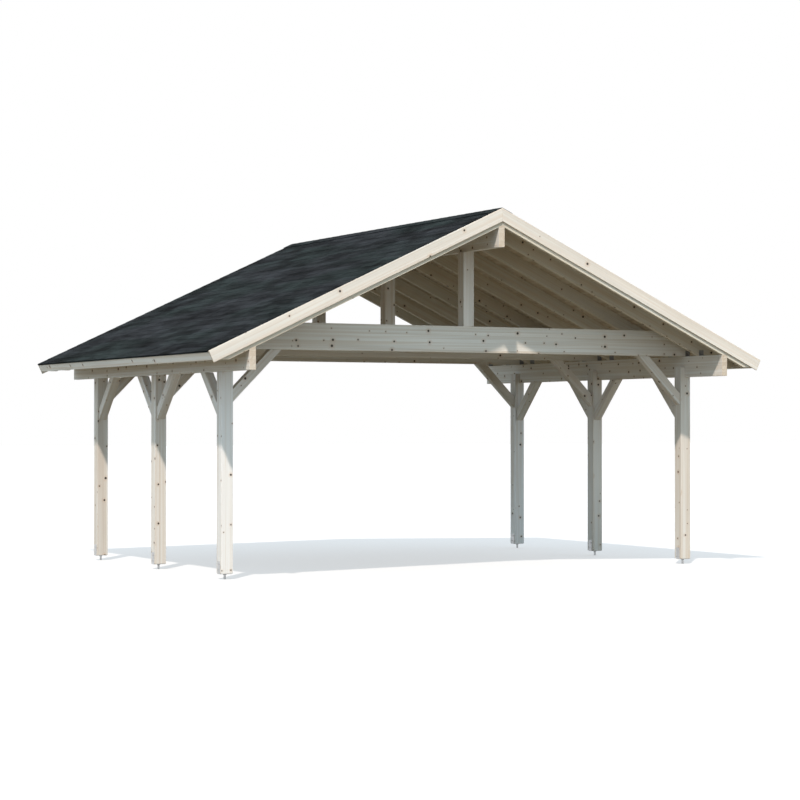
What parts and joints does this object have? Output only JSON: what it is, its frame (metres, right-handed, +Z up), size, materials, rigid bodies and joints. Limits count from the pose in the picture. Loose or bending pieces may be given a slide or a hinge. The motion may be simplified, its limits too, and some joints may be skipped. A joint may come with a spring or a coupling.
{
  "type": "open double carport with a gable roof",
  "caption": "Open timber carport: square posts on steel shoes carry braced tie-beam frames and a gable roof of boards on rafters, covered in dark roofing felt shingles.",
  "frame": {"origin": "on the ground in the middle of the six feet, under the ridge", "axes": "+Z up, +Y from the front gable to the rear gable, +X to the right seen from the front"},
  "size_m": [6.8332, 5.42, 3.9527],
  "materials": {
    "post_timber": "planed spruce, untreated",
    "beam_timber": "planed glued spruce, untreated",
    "rafter_timber": "planed spruce, untreated",
    "roof_boarding": "planed spruce boards, untreated",
    "edge_boards": "planed spruce, untreated",
    "roof_felt": "mineral-surfaced bitumen, anthracite",
    "galvanised_steel": "hot-dip galvanised"
  },
  "bodies": {
    "root": {"post_front_left": "post_timber", "post_front_right": "post_timber", "post_middle_left": "post_timber", "post_middle_right": "post_timber", "post_rear_left": "post_timber", "post_rear_right": "post_timber", "shoe_front_left": "galvanised_steel", "shoe_front_right": "galvanised_steel", "shoe_middle_left": "galvanised_steel", "shoe_middle_right": "galvanised_steel", "shoe_rear_left": "galvanised_steel", "shoe_rear_right": "galvanised_steel", "eave_beam_left": "beam_timber", "eave_beam_right": "beam_timber", "ridge_beam": "beam_timber", "tie_beam_front": "beam_timber", "tie_beam_middle": "beam_timber", "tie_beam_rear": "beam_timber", "king_post_front": "post_timber", "king_post_middle": "post_timber", "king_post_rear": "post_timber", "cross_braces_front": "beam_timber", "cross_braces_middle": "beam_timber", "cross_braces_rear": "beam_timber", "eave_braces_left": "beam_timber", "eave_braces_right": "beam_timber", "rafters_left": "rafter_timber", "rafters_right": "rafter_timber", "roof_boards_left": "roof_boarding", "roof_boards_right": "roof_boarding", "covering_left": "roof_felt", "covering_right": "roof_felt", "ridge_cap": "roof_felt", "barge_front_left": "edge_boards", "barge_front_right": "edge_boards", "barge_rear_left": "edge_boards", "barge_rear_right": "edge_boards", "eave_board_left": "edge_boards", "eave_board_right": "edge_boards", "brackets_left": "galvanised_steel", "brackets_right": "galvanised_steel"}
  },
  "joints": []
}
